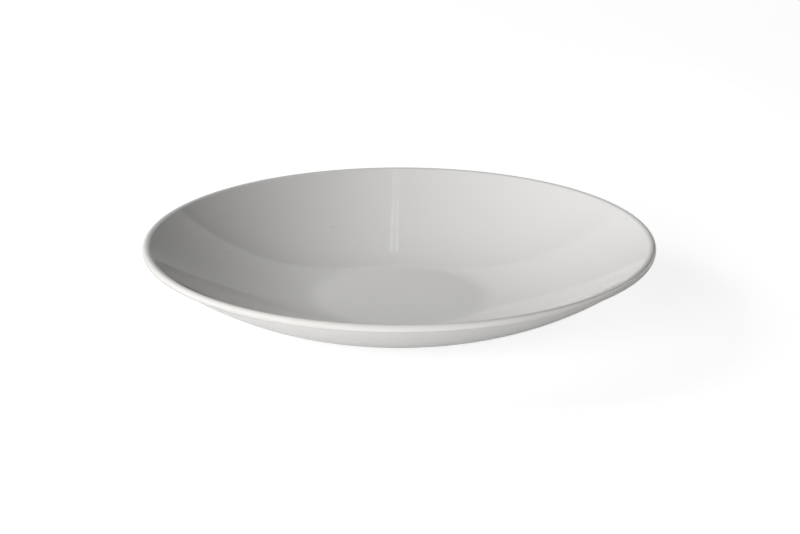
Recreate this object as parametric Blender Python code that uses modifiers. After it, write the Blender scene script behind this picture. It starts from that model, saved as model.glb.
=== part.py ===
"""Pasta plate: a deep coupe plate of glazed porcelain with a rolled rim and a foot ring.

The real plate is pressed and fired as one piece, so it is one turned solid here.
Metres, +Z up. The origin is the centre of the plane that the foot ring rests on.
"""
import math

import bmesh
import bpy
from mathutils import Vector

# Rim
RIM_RADIUS = 0.140  # axis to the outermost point of the rim
BEAD_RADIUS = 0.0020  # half the thickness of the rolled bead round the rim
BEAD_UNDERCUT = math.radians(20)  # how far the bead turns in under itself before the wall starts
LIP_RADIUS = 0.0040  # softer turn from the inside of the wall up onto the top of the bead

# Inside of the well
WELL_DEPTH = 0.0335  # top of the rim to the flat floor
FLOOR_RADIUS = 0.043  # flat part of the floor
FLOOR_EDGE_RADIUS = 0.070  # soft turn from the floor into the wall
FLOOR_EDGE_SLOPE = math.radians(8.8)  # slope of the wall where that turn ends

# Outside of the well
FLOOR_THICKNESS = 0.0050
WALL_BELLY = 0.0056  # how far the outer wall bulges from the straight line between rim and foot

# Foot ring
FOOT_RADIUS = 0.0605  # outside of the ring
FOOT_WIDTH = 0.0045
FOOT_HEIGHT = 0.0022  # outside, from the resting plane to the wall
FOOT_RECESS = 0.0015  # inside, from the resting plane to the underside of the floor
FOOT_EDGE_RADIUS = 0.0007  # rounding of the ring's two lower edges
FOOT_COVE_RADIUS = 0.0006  # hollow where the ring meets the plate

# Fineness of the curves
TURN_STEPS = 96
FLOOR_EDGE_SEGMENTS = 3
WALL_SEGMENTS = 8
BEAD_SEGMENTS = 11
LIP_SEGMENTS = 2
FOOT_SEGMENTS = 2

# Heights that follow from the sizes above
FLOOR_LEVEL = FOOT_RECESS + FLOOR_THICKNESS
RIM_LEVEL = FLOOR_LEVEL + WELL_DEPTH

NAME = "pasta_plate"
UP = math.pi / 2
DOWN = -math.pi / 2
MERGE_DISTANCE = 0.00001
GLAZE_COLOUR = (0.84, 0.84, 0.82, 1.0)
GLAZE_ROUGHNESS = 0.10


def clear_scene():
    """Remove whatever the file starts with."""
    for old in list(bpy.data.objects):
        bpy.data.objects.remove(old, do_unlink=True)


def arc(centre, radius, start, end, segments):
    """Points on a circle from one angle to another, both ends included."""
    points = []
    for step in range(segments + 1):
        angle = start + (end - start) * step / segments
        points.append(centre + radius * Vector((math.cos(angle), math.sin(angle))))
    return points


def angle_of(vector):
    """Direction of a vector in the profile plane."""
    return math.atan2(vector.y, vector.x)


def belly_arc(start, end, belly, segments):
    """Arc from start to end that stands belly proud of the chord, on the left of the way along it."""
    chord = end - start
    half_turn = 2 * math.atan(2 * belly / chord.length)
    radius = chord.length / (2 * math.sin(half_turn))
    left = Vector((-chord.y, chord.x)).normalized()
    centre = (start + end) / 2 - left * (radius - belly)
    middle = angle_of(left)
    return arc(centre, radius, middle + half_turn, middle - half_turn, segments)


def rounded_corner(before, corner, after, radius, segments):
    """Arc that rounds a corner off. It takes at most half of each side."""
    back = before - corner
    ahead = after - corner
    half_angle = back.angle(ahead) / 2
    setback = min(radius / math.tan(half_angle), back.length / 2, ahead.length / 2)
    fitted_radius = setback * math.tan(half_angle)
    bisector = (back.normalized() + ahead.normalized()).normalized()
    centre = corner + bisector * fitted_radius / math.sin(half_angle)
    first = corner + back.normalized() * setback - centre
    last = corner + ahead.normalized() * setback - centre
    start = angle_of(first)
    turn = (angle_of(last) - start + math.pi) % (2 * math.pi) - math.pi
    return arc(centre, fitted_radius, start, start + turn, segments)


def inside_profile(lip_centre):
    """Floor, soft floor edge and wall, from the axis out to the point where the lip takes over."""
    edge_centre = Vector((FLOOR_RADIUS, FLOOR_LEVEL + FLOOR_EDGE_RADIUS))
    edge_end = DOWN + FLOOR_EDGE_SLOPE
    edge = arc(edge_centre, FLOOR_EDGE_RADIUS, DOWN, edge_end, FLOOR_EDGE_SEGMENTS)

    # The wall is the one circle that leaves the floor edge in line and touches the lip.
    wall_start = edge[-1]
    inward = (edge_centre - wall_start).normalized()
    offset = wall_start - lip_centre
    wall_radius = (offset.length_squared - LIP_RADIUS**2) / (2 * (LIP_RADIUS - offset.dot(inward)))
    wall_centre = wall_start + inward * wall_radius
    wall_end = angle_of(lip_centre - wall_centre)
    wall = arc(wall_centre, wall_radius, edge_end, wall_end, WALL_SEGMENTS)

    axis_point = Vector((0, FLOOR_LEVEL))
    return [axis_point] + edge + wall[1:], wall_end + math.pi


def foot_profile(wall_point):
    """Foot ring and the recessed underside, from the wall in to the axis."""
    inner_radius = FOOT_RADIUS - FOOT_WIDTH
    corners = [
        wall_point,
        Vector((FOOT_RADIUS, FOOT_HEIGHT)),
        Vector((FOOT_RADIUS, 0)),
        Vector((inner_radius, 0)),
        Vector((inner_radius, FOOT_RECESS)),
        Vector((0, FOOT_RECESS)),
    ]
    radii = [FOOT_COVE_RADIUS, FOOT_EDGE_RADIUS, FOOT_EDGE_RADIUS, FOOT_COVE_RADIUS]
    points = []
    for before, corner, after, radius in zip(corners, corners[1:], corners[2:], radii):
        points += rounded_corner(before, corner, after, radius, FOOT_SEGMENTS)
    return points + corners[-1:]


def plate_profile():
    """Half section of the plate: out along the inside, over the rim, down the outside and in again."""
    bead_centre = Vector((RIM_RADIUS - BEAD_RADIUS, RIM_LEVEL - BEAD_RADIUS))
    lip_centre = Vector((bead_centre.x, RIM_LEVEL - LIP_RADIUS))
    inside, lip_start = inside_profile(lip_centre)
    lip = arc(lip_centre, LIP_RADIUS, lip_start, UP, LIP_SEGMENTS)
    bead = arc(bead_centre, BEAD_RADIUS, UP, DOWN - BEAD_UNDERCUT, BEAD_SEGMENTS)
    foot_top = Vector((FOOT_RADIUS, FOOT_HEIGHT))
    outside = belly_arc(bead[-1], foot_top, WALL_BELLY, WALL_SEGMENTS)
    return inside + lip[1:] + bead[1:] + outside[1:-1] + foot_profile(outside[-2])


def glaze_material():
    """White porcelain under a clear gloss glaze."""
    material = bpy.data.materials.new("white_glaze")
    material.use_nodes = True
    shader = material.node_tree.nodes["Principled BSDF"]
    shader.inputs["Base Color"].default_value = GLAZE_COLOUR
    shader.inputs["Roughness"].default_value = GLAZE_ROUGHNESS
    shader.inputs["Metallic"].default_value = 0.0
    return material


def turned_plate():
    """The plate: its half section, turned about the axis by a Screw modifier."""
    mesh = bpy.data.meshes.new("plate")
    section = bmesh.new()
    vertices = [section.verts.new((point.x, 0, point.y)) for point in plate_profile()]
    for first, second in zip(vertices, vertices[1:]):
        section.edges.new((first, second))
    section.to_mesh(mesh)
    section.free()
    mesh.materials.append(glaze_material())

    plate = bpy.data.objects.new("plate", mesh)
    turn = plate.modifiers.new("turn", "SCREW")
    turn.axis = "Z"
    turn.angle = 2 * math.pi
    turn.steps = TURN_STEPS
    turn.render_steps = TURN_STEPS
    turn.use_merge_vertices = True
    turn.merge_threshold = MERGE_DISTANCE
    turn.use_smooth_shade = True
    return plate


def main():
    clear_scene()
    collection = bpy.data.collections.new(NAME)
    bpy.context.scene.collection.children.link(collection)
    collection.objects.link(turned_plate())


main()
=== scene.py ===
"""Pasta plate: the finished look of a white glazed plate on a pale studio floor.

Laid out as an add-on and run as a script. Metres, +Z up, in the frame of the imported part.
"""
import math

import bmesh
import bpy
from bpy.props import FloatProperty, FloatVectorProperty, IntProperty, PointerProperty
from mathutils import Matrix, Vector


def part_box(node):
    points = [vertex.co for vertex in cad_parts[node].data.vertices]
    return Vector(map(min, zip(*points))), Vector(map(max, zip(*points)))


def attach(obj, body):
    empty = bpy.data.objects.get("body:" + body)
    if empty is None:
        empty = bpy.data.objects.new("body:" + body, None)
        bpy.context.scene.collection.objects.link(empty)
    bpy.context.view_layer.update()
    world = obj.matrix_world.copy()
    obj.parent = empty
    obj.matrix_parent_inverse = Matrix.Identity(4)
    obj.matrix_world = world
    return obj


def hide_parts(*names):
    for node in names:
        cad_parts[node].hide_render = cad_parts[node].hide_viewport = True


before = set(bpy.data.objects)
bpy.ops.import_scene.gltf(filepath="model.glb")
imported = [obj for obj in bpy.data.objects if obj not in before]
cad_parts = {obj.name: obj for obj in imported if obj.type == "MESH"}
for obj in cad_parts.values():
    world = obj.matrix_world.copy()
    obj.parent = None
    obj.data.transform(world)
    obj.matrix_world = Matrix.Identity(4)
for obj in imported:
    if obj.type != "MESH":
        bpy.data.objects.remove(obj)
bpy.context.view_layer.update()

bl_info = {
    "name": "Pasta plate",
    "version": (1, 0, 0),
    "blender": (4, 5, 0),
    "location": "3D View > Sidebar > Plate",
    "description": "Turns a glazed pasta plate and sets it on a studio floor",
    "category": "Object",
}

PLATE_LOW, PLATE_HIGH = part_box("plate")
DOWN = -math.pi / 2
UP = Vector((0, 0, 1))
BOARD_LIFT = 0.001
WELD_DISTANCE = 0.000002

# Steps along each curve of the half section, and round the floor
FLOOR_EDGE_STEPS = 12
WALL_STEPS = 44
LIP_STEPS = 12
BEAD_STEPS = 32
CREASE_STEPS = 5
OUTSIDE_STEPS = 40
FOOT_CORNER_STEPS = 6
GROUND_STEPS = 96

# Slow patterns of the glaze: scale to the metre and detail, and the pattern's values between which it fades
POOL_NOISE = (11.0, 2.0)
POOL_FADE = (0.35, 0.65)
GLOSS_NOISE = (26.0, 3.0)
GLOSS_FADE = (0.3, 0.7)
RIPPLE_NOISE = (55.0, 1.0)
GLAZE_IOR = 1.52

# Specks: cells to the metre, shares of a cell between which a speck fades, and how dark it gets
SPECK_SCALE = 52.0
SPECK_FADE = (0.020, 0.046)
SPECK_STRENGTH = 0.35

# Heights between which the bare face of the foot ring gives way to glaze
BARE_FADE = (0.00015, 0.0003)

# Floor: distances from its middle between which the mirrored shade and the far white fade
SHADE_FADE = (0.25, 0.60)
SHADE_SHARE = 0.2
FAR_FADE = (0.8, 2.5)

# Floor: stretch from left to right over which the grey card gives way to paper
CARD_FADE = (-0.30, -0.05)
PAPER_ROUGHNESS = 0.9

# Mirrored room: components of a direction, as a unit vector, between which each of its tones fades
WALL_EDGE = 0.003
ROOM_FADE = (-0.05, 0.30)
ROOM_RISE = 0.16
SIDE_FADE = (0.45, 0.60)
FRONT_FADE = (-0.15, 0.05)
FRONT_SIDE_FADE = (-0.20, 0.20)
CEILING_FADE = (0.34, 0.53)

# Share of the room's brightness that is left just above its walls
ROOM_FOOT = 0.5


# Property groups

class PlateSizes(bpy.types.PropertyGroup):
    """Sizes of the plate's half section."""

    rim_radius: FloatProperty(
        name="Rim radius",
        description="Axis to the outermost point of the rim",
        default=(PLATE_HIGH.x - PLATE_LOW.x) / 2,
        unit="LENGTH",
    )
    rim_level: FloatProperty(
        name="Rim level",
        description="Resting plane to the top of the rim",
        default=PLATE_HIGH.z,
        unit="LENGTH",
    )
    bead_radius: FloatProperty(
        name="Bead radius",
        description="Half the thickness of the rolled bead round the rim",
        default=0.0020,
        unit="LENGTH",
    )
    lip_radius: FloatProperty(
        name="Lip radius",
        description="Softer turn from the wall up onto the top of the bead",
        default=0.0040,
        unit="LENGTH",
    )
    bead_undercut: FloatProperty(
        name="Bead undercut",
        description="How far the bead turns in under itself before the wall starts",
        default=math.radians(20),
        subtype="ANGLE",
    )
    crease_radius: FloatProperty(
        name="Crease radius",
        description="Glaze lying in the crease between the bead and the wall",
        default=0.0004,
        unit="LENGTH",
    )
    well_depth: FloatProperty(
        name="Well depth",
        description="Top of the rim to the flat floor",
        default=0.0335,
        unit="LENGTH",
    )
    floor_radius: FloatProperty(
        name="Floor radius",
        description="Flat part of the floor",
        default=0.043,
        unit="LENGTH",
    )
    floor_edge_radius: FloatProperty(
        name="Floor edge radius",
        description="Soft turn from the floor into the wall",
        default=0.070,
        unit="LENGTH",
    )
    floor_edge_slope: FloatProperty(
        name="Floor edge slope",
        description="Slope of the wall where the turn from the floor ends",
        default=math.radians(8.8),
        subtype="ANGLE",
    )
    wall_belly: FloatProperty(
        name="Wall belly",
        description="How far the outer wall bulges from the line between rim and foot",
        default=0.0056,
        unit="LENGTH",
    )
    foot_radius: FloatProperty(
        name="Foot radius",
        description="Outside of the foot ring",
        default=0.0605,
        unit="LENGTH",
    )
    foot_width: FloatProperty(
        name="Foot width",
        description="Width of the foot ring",
        default=0.0045,
        unit="LENGTH",
    )
    foot_height: FloatProperty(
        name="Foot height",
        description="Resting plane to the outer wall",
        default=0.0022,
        unit="LENGTH",
    )
    foot_recess: FloatProperty(
        name="Foot recess",
        description="Resting plane to the underside of the floor",
        default=0.0015,
        unit="LENGTH",
    )
    foot_edge_radius: FloatProperty(
        name="Foot edge radius",
        description="Rounding of the foot ring's lower edges",
        default=0.0007,
        unit="LENGTH",
    )
    foot_cove_radius: FloatProperty(
        name="Foot cove radius",
        description="Hollow where the foot ring meets the plate",
        default=0.0006,
        unit="LENGTH",
    )
    turn_steps: IntProperty(
        name="Turn steps",
        description="Steps of the turned shape round its axis",
        default=288,
        min=3,
    )


class GlazeLook(bpy.types.PropertyGroup):
    """Colours and gloss of the fired glaze and of the bare foot."""

    glaze_colour: FloatVectorProperty(
        name="Glaze colour",
        description="White porcelain seen through the clear glaze",
        default=(0.805, 0.795, 0.775),
        subtype="COLOR",
        min=0.0,
        max=1.0,
    )
    thick_colour: FloatVectorProperty(
        name="Thick glaze colour",
        description="The same where the glaze lies thicker",
        default=(0.79, 0.783, 0.764),
        subtype="COLOR",
        min=0.0,
        max=1.0,
    )
    # Painted shade: this colour darkens the whole rolled bead to dim the lit rim; its warmer hue is the
    # body under thin glaze.
    bead_shade_and_body_colour: FloatVectorProperty(
        name="Edge colour",
        description="The same on the bead, where the glaze runs thin and the warmer body shows",
        default=(0.745, 0.73, 0.705),
        subtype="COLOR",
        min=0.0,
        max=1.0,
    )
    speck_colour: FloatVectorProperty(
        name="Speck colour",
        description="Fine dark specks fired into the glaze",
        default=(0.33, 0.31, 0.28),
        subtype="COLOR",
        min=0.0,
        max=1.0,
    )
    bare_colour: FloatVectorProperty(
        name="Bare colour",
        description="Unglazed porcelain under the foot ring",
        default=(0.74, 0.72, 0.67),
        subtype="COLOR",
        min=0.0,
        max=1.0,
    )
    smooth_gloss: FloatProperty(
        name="Smoothest gloss",
        description="Roughness where the glaze is smoothest",
        default=0.025,
        subtype="FACTOR",
        min=0.0,
        max=1.0,
    )
    soft_gloss: FloatProperty(
        name="Softest gloss",
        description="Roughness where the glaze is softest",
        default=0.045,
        subtype="FACTOR",
        min=0.0,
        max=1.0,
    )
    bare_roughness: FloatProperty(
        name="Bare roughness",
        description="Roughness of the unglazed foot",
        default=0.65,
        subtype="FACTOR",
        min=0.0,
        max=1.0,
    )
    ripple_height: FloatProperty(
        name="Ripple height",
        description="Height of the slow ripple that melted glaze is left with",
        default=0.000012,
        precision=6,
        unit="LENGTH",
    )


class StageLook(bpy.types.PropertyGroup):
    """Camera, lamps, room and floor."""

    camera_distance: FloatProperty(
        name="Camera distance",
        description="Camera to the middle of the rim",
        default=1.20,
        unit="LENGTH",
    )
    camera_elevation: FloatProperty(
        name="Camera elevation",
        description="Height of the camera above the rim, as an angle",
        default=math.radians(17.97),
        subtype="ANGLE",
    )
    camera_lens: FloatProperty(
        name="Lens",
        description="Focal length in millimetres on a 36 mm wide sensor",
        default=98.55,
    )
    aim_offset: FloatVectorProperty(
        name="Aim offset",
        description="Point in the middle of the picture, from the middle of the rim",
        default=(0.00038, -0.00497, -0.01532),
        subtype="XYZ",
        unit="LENGTH",
    )
    lamp_distance: FloatProperty(
        name="Lamp distance",
        description="Lamps to the middle of the rim",
        default=2.2,
        unit="LENGTH",
    )
    key_size: FloatVectorProperty(
        name="Key size",
        description="Width and height of each main light's panel",
        default=(1.2, 0.8),
        size=2,
        unit="LENGTH",
    )
    back_key_way: FloatVectorProperty(
        name="Back key way",
        description="Bearing from the camera's side round to the left, and elevation",
        default=(math.radians(105), math.radians(30)),
        size=2,
        unit="ROTATION",
    )
    back_key_power: FloatProperty(
        name="Back key power",
        description="Main light behind the plate on the left, in watts",
        default=34.3,
    )
    front_key_way: FloatVectorProperty(
        name="Front key way",
        description="Bearing from the camera's side round to the left, and elevation",
        default=(math.radians(30), math.radians(20)),
        size=2,
        unit="ROTATION",
    )
    front_key_power: FloatProperty(
        name="Front key power",
        description="Main light before the plate on the left, in watts",
        default=33.5,
    )
    glint_way: FloatVectorProperty(
        name="Glint way",
        description="Bearing from the camera's side round to the left, and elevation",
        default=(math.radians(45), math.radians(20)),
        size=2,
        unit="ROTATION",
    )
    glint_size: FloatVectorProperty(
        name="Glint size",
        description="Width and height of the panel that the rim mirrors",
        default=(1.6, 0.35),
        size=2,
        unit="LENGTH",
    )
    glint_power: FloatProperty(
        name="Glint power",
        description="Panel that the rim mirrors, in watts",
        default=5.5,
    )
    strip_place: FloatVectorProperty(
        name="Strip place",
        description="Middle of the two rows of slim overhead lights, from the middle of the rim",
        default=(0.0157, 0.87, 1.5),
        subtype="XYZ",
        unit="LENGTH",
    )
    strip_size: FloatVectorProperty(
        name="Strip size",
        description="Width and length of each slim overhead light",
        default=(0.010, 0.50),
        size=2,
        unit="LENGTH",
    )
    strip_pitch: FloatVectorProperty(
        name="Strip pitch",
        description="Distance between the two rows of slim lights, and between the lights in a row",
        default=(0.0165, 0.54),
        size=2,
        unit="LENGTH",
    )
    strip_power: FloatVectorProperty(
        name="Strip power",
        description="Each slim light in watts: the near, the middle and the far one of a row",
        default=(0.0125, 0.0165, 0.0145),
        size=3,
        precision=4,
    )
    board_reach: FloatProperty(
        name="Board reach",
        description="Middle of the plate to the middle of each pale board",
        default=0.38,
        unit="LENGTH",
    )
    front_board_size: FloatVectorProperty(
        name="Front board size",
        description="Width and length of the board that lies before the plate",
        default=(0.45, 0.45),
        size=2,
        unit="LENGTH",
    )
    front_board_power: FloatProperty(
        name="Front board power",
        description="Light that the board before the plate throws up, in watts",
        default=0.22,
    )
    side_board_bearing: FloatProperty(
        name="Side board bearing",
        description="Bearing of the low board on the right, from the camera's side round to the left",
        default=math.radians(255),
        subtype="ANGLE",
    )
    side_board_size: FloatVectorProperty(
        name="Side board size",
        description="Width and height of the low board, which stays below the rim",
        default=(0.90, 0.036),
        size=2,
        unit="LENGTH",
    )
    side_board_power: FloatProperty(
        name="Side board power",
        description="Light that the low board on the right throws back, in watts",
        default=0.30,
    )
    dim_glow: FloatProperty(
        name="Dim glow",
        description="Even light that the room itself gives",
        default=0.01,
        subtype="FACTOR",
        min=0.0,
        max=1.0,
    )
    wall_glow: FloatVectorProperty(
        name="Wall glow",
        description="Mirrored brightness of the room's walls, at the floor and at their top",
        default=(0.50, 0.46),
        size=2,
        min=0.0,
        max=1.0,
    )
    room_glow: FloatVectorProperty(
        name="Room glow",
        description="Mirrored brightness of the room above its walls, on the left and on the right",
        default=(0.36, 0.09),
        size=2,
        min=0.0,
        max=1.0,
    )
    side_glow: FloatVectorProperty(
        name="Side glow",
        description="Mirrored brightness added far out, on the left and on the right",
        default=(-0.30, 0.80),
        size=2,
        min=-1.0,
        max=1.0,
    )
    ceiling_glow: FloatProperty(
        name="Ceiling glow",
        description="Mirrored brightness added overhead, in front and on the right",
        default=1.8,
    )
    wall_top: FloatProperty(
        name="Wall top",
        description="Upper edge of the pale walls seen from the plate, as an angle",
        default=math.radians(33),
        subtype="ANGLE",
    )
    floor_radius: FloatProperty(
        name="Floor radius",
        description="Middle of the floor to its edge",
        default=15.0,
        unit="LENGTH",
    )
    paper_colour: FloatVectorProperty(
        name="Paper colour",
        description="White paper of the floor",
        default=(0.88, 0.88, 0.88),
        subtype="COLOR",
        min=0.0,
        max=1.0,
    )
    card_colour: FloatVectorProperty(
        name="Card colour",
        description="Grey card on the floor left of the plate, which the camera doesn't see",
        default=(0.20, 0.20, 0.20),
        subtype="COLOR",
        min=0.0,
        max=1.0,
    )
    seen_colour: FloatVectorProperty(
        name="Seen floor colour",
        description="Share of the lamps' light in the floor as the camera and reflections see it",
        default=(0.28, 0.28, 0.28),
        subtype="COLOR",
        min=0.0,
        max=1.0,
    )
    seen_glow: FloatProperty(
        name="Seen floor glow",
        description="Plain white added to the floor as the camera and reflections see it",
        default=0.87,
        subtype="FACTOR",
        min=0.0,
        max=1.0,
    )


# Curves of the half section

def arc(centre, radius, start, end, segments):
    """Points on a circle from one angle to another, both ends included."""
    points = []
    for step in range(segments + 1):
        angle = start + (end - start) * step / segments
        points.append(centre + radius * Vector((math.cos(angle), math.sin(angle))))
    return points


def angle_of(vector):
    """Direction of a vector in the section's plane."""
    return math.atan2(vector.y, vector.x)


def belly_arc(start, end, belly, segments):
    """Arc from start to end that stands belly proud of the chord, on the left of the way along it."""
    chord = end - start
    half_turn = 2 * math.atan(2 * belly / chord.length)
    radius = chord.length / (2 * math.sin(half_turn))
    left = Vector((-chord.y, chord.x)).normalized()
    centre = (start + end) / 2 - left * (radius - belly)
    middle = angle_of(left)
    return arc(centre, radius, middle + half_turn, middle - half_turn, segments)


def rounded_corner(before, corner, after, radius, segments):
    """Arc that rounds a corner off. It takes at most half of each side."""
    back = before - corner
    ahead = after - corner
    half_angle = back.angle(ahead) / 2
    setback = min(radius / math.tan(half_angle), back.length / 2, ahead.length / 2)
    fitted_radius = setback * math.tan(half_angle)
    bisector = (back.normalized() + ahead.normalized()).normalized()
    centre = corner + bisector * fitted_radius / math.sin(half_angle)
    first = corner + back.normalized() * setback - centre
    last = corner + ahead.normalized() * setback - centre
    start = angle_of(first)
    turn = (angle_of(last) - start + math.pi) % (2 * math.pi) - math.pi
    return arc(centre, fitted_radius, start, start + turn, segments)


def inside_section(sizes, lip_centre):
    """Floor, soft floor edge and wall, and the angle on the lip at which the wall meets it."""
    floor_level = sizes.rim_level - sizes.well_depth
    edge_centre = Vector((sizes.floor_radius, floor_level + sizes.floor_edge_radius))
    edge_end = DOWN + sizes.floor_edge_slope
    edge = arc(edge_centre, sizes.floor_edge_radius, DOWN, edge_end, FLOOR_EDGE_STEPS)

    # The wall is the one circle that leaves the floor edge in line and touches the lip.
    lip_radius = sizes.lip_radius
    inward = (edge_centre - edge[-1]).normalized()
    offset = edge[-1] - lip_centre
    wall_radius = (offset.length_squared - lip_radius**2) / (2 * (lip_radius - offset.dot(inward)))
    wall_centre = edge[-1] + inward * wall_radius
    wall_end = angle_of(lip_centre - wall_centre)
    wall = arc(wall_centre, wall_radius, edge_end, wall_end, WALL_STEPS)
    return [Vector((0, floor_level))] + edge + wall[1:], wall_end + math.pi


def foot_section(sizes, wall_point):
    """Foot ring and the recessed underside, from the wall in to the axis."""
    inner_radius = sizes.foot_radius - sizes.foot_width
    corners = [
        wall_point,
        Vector((sizes.foot_radius, sizes.foot_height)),
        Vector((sizes.foot_radius, 0)),
        Vector((inner_radius, 0)),
        Vector((inner_radius, sizes.foot_recess)),
        Vector((0, sizes.foot_recess)),
    ]
    radii = [
        sizes.foot_cove_radius,
        sizes.foot_edge_radius,
        sizes.foot_edge_radius,
        sizes.foot_cove_radius,
    ]
    points = []
    for before, corner, after, radius in zip(corners, corners[1:], corners[2:], radii):
        points += rounded_corner(before, corner, after, radius, FOOT_CORNER_STEPS)
    return points + corners[-1:]


def half_section(sizes):
    """Out along the inside, over the rim, down the outside and in again under the floor."""
    bead_radius = sizes.bead_radius
    bead_centre = Vector((sizes.rim_radius - bead_radius, sizes.rim_level - bead_radius))
    lip_centre = Vector((bead_centre.x, sizes.rim_level - sizes.lip_radius))
    inside, lip_start = inside_section(sizes, lip_centre)
    lip = arc(lip_centre, sizes.lip_radius, lip_start, -DOWN, LIP_STEPS)
    bead = arc(bead_centre, bead_radius, -DOWN, DOWN - sizes.bead_undercut, BEAD_STEPS)
    foot_top = Vector((sizes.foot_radius, sizes.foot_height))
    outside = belly_arc(bead[-1], foot_top, sizes.wall_belly, OUTSIDE_STEPS)

    # The rounded crease takes the place of the bead's last two points.
    crease = rounded_corner(bead[-3], bead[-1], outside[1], sizes.crease_radius, CREASE_STEPS)
    rim = lip[1:] + bead[1:-2] + crease
    return inside + rim + outside[1:-1] + foot_section(sizes, outside[-2])


# Materials

def new_material(name):
    """A node material with its tree and its shader."""
    material = bpy.data.materials.new(name)
    material.use_nodes = True
    tree = material.node_tree
    return material, tree, tree.nodes["Principled BSDF"]


def add_node(tree, kind, inputs=None, **settings):
    """A node with its settings and its unlinked inputs filled in."""
    made = tree.nodes.new(kind)
    for name, value in settings.items():
        setattr(made, name, value)
    for name, value in (inputs or {}).items():
        made.inputs[name].default_value = value
    return made


def fill_socket(tree, socket, value):
    """Link a socket to another one, or set its plain value."""
    if isinstance(value, bpy.types.NodeSocket):
        tree.links.new(value, socket)
    else:
        socket.default_value = value


def mix_colours(tree, factor, first, second):
    """Colour mix of two sockets or plain colours by a factor socket."""
    mix = add_node(tree, "ShaderNodeMix", data_type="RGBA")
    tree.links.new(factor, mix.inputs["Factor"])
    for name, value in (("A", first), ("B", second)):
        linked = isinstance(value, bpy.types.NodeSocket)
        fill_socket(tree, mix.inputs[name], value if linked else (*value, 1.0))
    return mix.outputs["Result"]


def mix_values(tree, factor, first, second):
    """Mix of two value sockets or plain numbers by a factor socket."""
    mix = add_node(tree, "ShaderNodeMix", data_type="FLOAT")
    tree.links.new(factor, mix.inputs["Factor"])
    fill_socket(tree, mix.inputs["A"], first)
    fill_socket(tree, mix.inputs["B"], second)
    return mix.outputs["Result"]


def combine(tree, operation, first, second):
    """Sum, product or larger one of two value sockets."""
    made = add_node(tree, "ShaderNodeMath", operation=operation)
    tree.links.new(first, made.inputs[0])
    tree.links.new(second, made.inputs[1])
    return made.outputs["Value"]


def map_range(tree, value, from_min, from_max, to_min, to_max):
    """Clamped linear map of a value socket."""
    limits = {
        "From Min": from_min,
        "From Max": from_max,
        "To Min": to_min,
        "To Max": to_max,
    }
    made = add_node(tree, "ShaderNodeMapRange", limits)
    tree.links.new(value, made.inputs["Value"])
    return made.outputs["Result"]


def glaze_material(look, sizes):
    """Clear gloss glaze over white porcelain, with painted shade darkening the bead, where thin glaze also
    shows the warmer body, and wiped off under the foot ring.
    """
    material, tree, shader = new_material("white_glaze")
    place = add_node(tree, "ShaderNodeTexCoord").outputs["Object"]

    def noise(scale, detail):
        made = add_node(tree, "ShaderNodeTexNoise", {"Scale": scale, "Detail": detail})
        tree.links.new(place, made.inputs["Vector"])
        return made.outputs["Fac"]

    thickness = map_range(tree, noise(*POOL_NOISE), *POOL_FADE, 0.0, 1.0)
    colour = mix_colours(tree, thickness, look.glaze_colour, look.thick_colour)

    split = add_node(tree, "ShaderNodeSeparateXYZ")
    tree.links.new(place, split.inputs["Vector"])
    flat = add_node(tree, "ShaderNodeCombineXYZ")
    tree.links.new(split.outputs["X"], flat.inputs["X"])
    tree.links.new(split.outputs["Y"], flat.inputs["Y"])
    reach = add_node(tree, "ShaderNodeVectorMath", operation="LENGTH")
    tree.links.new(flat.outputs["Vector"], reach.inputs[0])
    # Painted shade: from the inside of the bead out to its middle the colour fades to the darker bead
    # colour, which also carries the warmer body under thin glaze.
    bead_inside = sizes.rim_radius - 2 * sizes.bead_radius
    bead_middle = sizes.rim_radius - sizes.bead_radius
    edge = map_range(tree, reach.outputs["Value"], bead_inside, bead_middle, 0.0, 1.0)
    colour = mix_colours(tree, edge, colour, look.bead_shade_and_body_colour)

    specks = add_node(tree, "ShaderNodeTexVoronoi", {"Scale": SPECK_SCALE})
    tree.links.new(place, specks.inputs["Vector"])
    speck = map_range(tree, specks.outputs["Distance"], *SPECK_FADE, SPECK_STRENGTH, 0.0)
    colour = mix_colours(tree, speck, colour, look.speck_colour)

    bare = map_range(tree, split.outputs["Z"], *BARE_FADE, 1.0, 0.0)
    colour = mix_colours(tree, bare, colour, look.bare_colour)
    tree.links.new(colour, shader.inputs["Base Color"])

    gloss = map_range(tree, noise(*GLOSS_NOISE), *GLOSS_FADE, look.smooth_gloss, look.soft_gloss)
    roughness = mix_values(tree, bare, gloss, look.bare_roughness)
    tree.links.new(roughness, shader.inputs["Roughness"])

    ripple = add_node(tree, "ShaderNodeBump", {"Distance": look.ripple_height})
    tree.links.new(noise(*RIPPLE_NOISE), ripple.inputs["Height"])
    tree.links.new(ripple.outputs["Normal"], shader.inputs["Normal"])
    shader.inputs["IOR"].default_value = GLAZE_IOR
    return material


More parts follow.
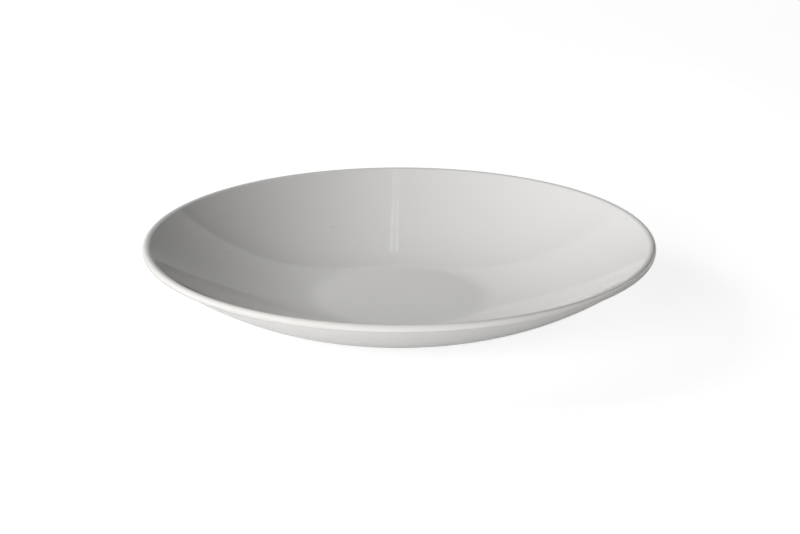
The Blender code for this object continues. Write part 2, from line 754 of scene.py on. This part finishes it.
def floor_material(stage):
    """White paper that reads as a white ground and still shows the plate's shadow."""
    material, tree, shader = new_material("white_floor")
    place = add_node(tree, "ShaderNodeTexCoord").outputs["Object"]
    reach = add_node(tree, "ShaderNodeVectorMath", operation="LENGTH")
    tree.links.new(place, reach.inputs[0])
    split = add_node(tree, "ShaderNodeSeparateXYZ")
    tree.links.new(place, split.inputs["Vector"])

    # The glaze mirrors the white ground too, but next to the plate it mirrors the plate's own shadow.
    clear = map_range(tree, reach.outputs["Value"], *SHADE_FADE, SHADE_SHARE, 1.0)
    path = add_node(tree, "ShaderNodeLightPath").outputs
    mirrored = combine(tree, "MULTIPLY", path["Is Glossy Ray"], clear)
    seen = combine(tree, "MAXIMUM", path["Is Camera Ray"], mirrored)
    seen = combine(tree, "MAXIMUM", seen, path["Is Transmission Ray"])

    open_floor = map_range(tree, split.outputs["X"], *CARD_FADE, 0.0, 1.0)
    paper = mix_colours(tree, open_floor, stage.card_colour, stage.paper_colour)
    colour = mix_colours(tree, seen, paper, stage.seen_colour)
    tree.links.new(colour, shader.inputs["Base Color"])

    # Far off the white is full, so that floor and background meet without a line.
    glow = map_range(tree, reach.outputs["Value"], *FAR_FADE, stage.seen_glow, 1.0)
    tree.links.new(combine(tree, "MULTIPLY", seen, glow), shader.inputs["Emission Strength"])
    shader.inputs["Emission Color"].default_value = (1.0, 1.0, 1.0, 1.0)
    shader.inputs["Roughness"].default_value = PAPER_ROUGHNESS
    shader.inputs["Specular IOR Level"].default_value = 0.0
    material.cycles.emission_sampling = "NONE"
    return material


def room_world(stage):
    """Dim room, white to the camera, that the glaze mirrors with pale walls up to an even height."""
    world = bpy.data.worlds.new("room")
    world.use_nodes = True
    tree = world.node_tree
    split = add_node(tree, "ShaderNodeSeparateXYZ")
    tree.links.new(add_node(tree, "ShaderNodeTexCoord").outputs["Generated"], split.inputs["Vector"])
    side = split.outputs["X"]
    depth = split.outputs["Y"]
    height = split.outputs["Z"]

    # Pale walls, and above their even upper edge a darker room that clears upwards.
    edge = math.sin(stage.wall_top)
    wall = map_range(tree, height, 0.0, edge, *stage.wall_glow)
    room = map_range(tree, side, *ROOM_FADE, *stage.room_glow)
    rise = map_range(tree, height, edge, edge + ROOM_RISE, ROOM_FOOT, 1.0)
    room = combine(tree, "MULTIPLY", room, rise)
    above = map_range(tree, height, edge - WALL_EDGE, edge + WALL_EDGE, 0.0, 1.0)
    mirrored = mix_values(tree, above, wall, room)

    # Far out on the left it is darker and on the right paler.
    side_start, side_full = SIDE_FADE
    left_glow, right_glow = stage.side_glow
    on_left = map_range(tree, side, -side_full, -side_start, left_glow, 0.0)
    mirrored = combine(tree, "ADD", mirrored, on_left)
    on_right = map_range(tree, side, side_start, side_full, 0.0, right_glow)
    mirrored = combine(tree, "ADD", mirrored, on_right)

    # The ceiling is paler in front and on the right, where mostly the rolled rim mirrors it.
    right_part = map_range(tree, side, side_start, side_full, 0.0, 1.0)
    front_part = map_range(tree, depth, *FRONT_FADE, 1.0, 0.0)
    front_side = map_range(tree, side, *FRONT_SIDE_FADE, 0.0, 1.0)
    front_part = combine(tree, "MULTIPLY", front_part, front_side)
    ceiling = map_range(tree, height, *CEILING_FADE, 0.0, stage.ceiling_glow)
    ceiling = combine(tree, "MULTIPLY", ceiling, combine(tree, "MAXIMUM", right_part, front_part))
    mirrored = combine(tree, "ADD", mirrored, ceiling)

    path = add_node(tree, "ShaderNodeLightPath").outputs
    reflected = combine(tree, "MAXIMUM", path["Is Glossy Ray"], path["Is Transmission Ray"])
    glow = mix_values(tree, reflected, stage.dim_glow, mirrored)
    glow = mix_values(tree, path["Is Camera Ray"], glow, 1.0)
    background = tree.nodes["Background"]
    background.inputs["Color"].default_value = (1.0, 1.0, 1.0, 1.0)
    tree.links.new(glow, background.inputs["Strength"])
    return world


# Building

def spun_object(name, points, steps):
    """A half section in the XZ plane, turned once round Z into a smooth mesh object."""
    shape = bmesh.new()
    corners = [shape.verts.new((point.x, 0, point.y)) for point in points]
    for first, second in zip(corners, corners[1:]):
        shape.edges.new((first, second))
    bmesh.ops.spin(
        shape,
        geom=shape.verts[:] + shape.edges[:],
        cent=(0, 0, 0),
        axis=(0, 0, 1),
        angle=2 * math.pi,
        steps=steps,
        use_merge=True,
    )
    bmesh.ops.remove_doubles(shape, verts=shape.verts[:], dist=WELD_DISTANCE)
    bmesh.ops.recalc_face_normals(shape, faces=shape.faces[:])
    mesh = bpy.data.meshes.new(name)
    shape.to_mesh(mesh)
    shape.free()
    mesh.shade_smooth()
    made = bpy.data.objects.new(name, mesh)
    bpy.context.scene.collection.objects.link(made)
    return made


def bearing(angle, elevation):
    """Unit vector from the plate, turned from the camera's side round to the left and raised."""
    flat = Vector((-math.sin(angle), -math.cos(angle), 0)) * math.cos(elevation)
    return flat + Vector((0, 0, math.sin(elevation)))


def point_at(thing, target):
    """Turn a lamp or a camera to look at a point."""
    thing.rotation_euler = (target - thing.location).to_track_quat("-Z", "Y").to_euler()


def hang_panel(name, place, target, size, power, mirrored=True):
    """A soft rectangular lamp that the camera doesn't see. The glaze mirrors it only if asked to."""
    light = bpy.data.lights.new(name, "AREA")
    light.shape = "RECTANGLE"
    light.size, light.size_y = size
    light.energy = power
    panel = bpy.data.objects.new(name, light)
    panel.location = place
    panel.visible_camera = False
    panel.visible_glossy = mirrored
    point_at(panel, target)
    bpy.context.scene.collection.objects.link(panel)


def hang_lamps(stage, middle):
    """Soft keys on the left, a panel and slim lights that the glaze mirrors, and pale boards."""
    lamps = (
        ("back_key", stage.back_key_way, stage.key_size, stage.back_key_power, False),
        ("front_key", stage.front_key_way, stage.key_size, stage.front_key_power, False),
        ("glint_panel", stage.glint_way, stage.glint_size, stage.glint_power, True),
    )
    for name, way, size, power, mirrored in lamps:
        place = middle + bearing(*way) * stage.lamp_distance
        hang_panel(name, place, middle, size, power, mirrored)

    # Two rows of slim lights, three to a row
    row_gap, step = stage.strip_pitch
    for side in (-row_gap / 2, row_gap / 2):
        for along, power in zip((-step, 0, step), stage.strip_power):
            place = middle + Vector(stage.strip_place) + Vector((side, along, 0))
            hang_panel("strip_light", place, place - UP, stage.strip_size, power)

    front_place = bearing(0, 0) * stage.board_reach + UP * BOARD_LIFT
    hang_panel(
        "front_board",
        front_place,
        front_place + UP,
        stage.front_board_size,
        stage.front_board_power,
    )

    side_height = UP * (BOARD_LIFT + stage.side_board_size[1] / 2)
    side_place = bearing(stage.side_board_bearing, 0) * stage.board_reach + side_height
    hang_panel(
        "side_board",
        side_place,
        side_height,
        stage.side_board_size,
        stage.side_board_power,
        mirrored=False,
    )


class PLATE_OT_turn_plate(bpy.types.Operator):
    """Turn the glazed plate on its axis and put it in place of its plain solid"""

    bl_idname = "plate.turn_plate"
    bl_label = "Turn plate"

    def execute(self, context):
        sizes = context.scene.plate_sizes
        plate = spun_object("glazed_plate", half_section(sizes), sizes.turn_steps)
        plate.data.materials.append(glaze_material(context.scene.plate_glaze, sizes))
        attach(plate, "root")
        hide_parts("plate")
        return {"FINISHED"}


class PLATE_OT_set_stage(bpy.types.Operator):
    """Lay the floor, light the room and set the camera"""

    bl_idname = "plate.set_stage"
    bl_label = "Set stage"

    def execute(self, context):
        scene = context.scene
        stage = scene.plate_stage
        rim_middle = Vector((0, 0, scene.plate_sizes.rim_level))

        floor_line = [Vector((0, 0)), Vector((stage.floor_radius, 0))]
        floor = spun_object("floor", floor_line, GROUND_STEPS)
        floor.data.materials.append(floor_material(stage))
        scene.world = room_world(stage)
        hang_lamps(stage, rim_middle)

        lens = bpy.data.cameras.new("camera")
        lens.lens = stage.camera_lens
        camera = bpy.data.objects.new("camera", lens)
        camera.location = rim_middle + bearing(0, stage.camera_elevation) * stage.camera_distance
        point_at(camera, rim_middle + Vector(stage.aim_offset))
        scene.collection.objects.link(camera)
        scene.camera = camera
        scene.view_settings.view_transform = "Standard"
        return {"FINISHED"}


class PLATE_PT_panel(bpy.types.Panel):
    """Sizes, glaze and stage, with the buttons that build them"""

    bl_label = "Pasta plate"
    bl_idname = "PLATE_PT_panel"
    bl_space_type = "VIEW_3D"
    bl_region_type = "UI"
    bl_category = "Plate"

    def draw(self, context):
        for operator, group in (
            (PLATE_OT_turn_plate, context.scene.plate_sizes),
            (PLATE_OT_turn_plate, context.scene.plate_glaze),
            (PLATE_OT_set_stage, context.scene.plate_stage),
        ):
            box = self.layout.box()
            for name in group.__annotations__:
                box.prop(group, name)
            box.operator(operator.bl_idname)


CLASSES = (
    PlateSizes,
    GlazeLook,
    StageLook,
    PLATE_OT_turn_plate,
    PLATE_OT_set_stage,
    PLATE_PT_panel,
)


def register():
    """Register the classes and give the scene their settings."""
    for each in CLASSES:
        bpy.utils.register_class(each)
    bpy.types.Scene.plate_sizes = PointerProperty(type=PlateSizes)
    bpy.types.Scene.plate_glaze = PointerProperty(type=GlazeLook)
    bpy.types.Scene.plate_stage = PointerProperty(type=StageLook)


def unregister():
    """Take the settings and the classes away again."""
    del bpy.types.Scene.plate_stage
    del bpy.types.Scene.plate_glaze
    del bpy.types.Scene.plate_sizes
    for each in reversed(CLASSES):
        bpy.utils.unregister_class(each)


def main():
    """Build the plate and its stage."""
    register()
    bpy.ops.plate.turn_plate()
    bpy.ops.plate.set_stage()


if __name__ == "__main__":
    main()
